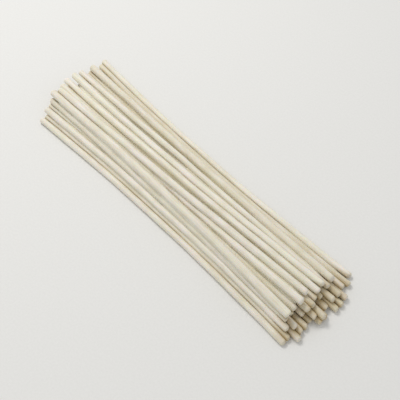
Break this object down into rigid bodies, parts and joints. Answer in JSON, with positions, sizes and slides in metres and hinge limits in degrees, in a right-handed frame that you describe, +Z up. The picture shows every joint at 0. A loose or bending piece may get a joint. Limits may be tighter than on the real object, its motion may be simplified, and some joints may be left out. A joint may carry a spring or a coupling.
{
  "type": "bundle of somen noodles",
  "caption": "Loose bundle of straight dried wheat noodles with cut ends, lying flat, drawn in a little at mid length and uneven at both ends.",
  "frame": {"origin": "on the table, under the middle of the bundle's bounding box", "axes": "+X along the strands, towards the end that is nearer in the picture; +Y across the bundle; +Z up"},
  "size_m": [0.2064, 0.0578, 0.0162],
  "materials": {
    "noodle": "matte, dry and faintly floury cream"
  },
  "bodies": {
    "root": {"noodle_bundle": "noodle"}
  },
  "joints": []
}
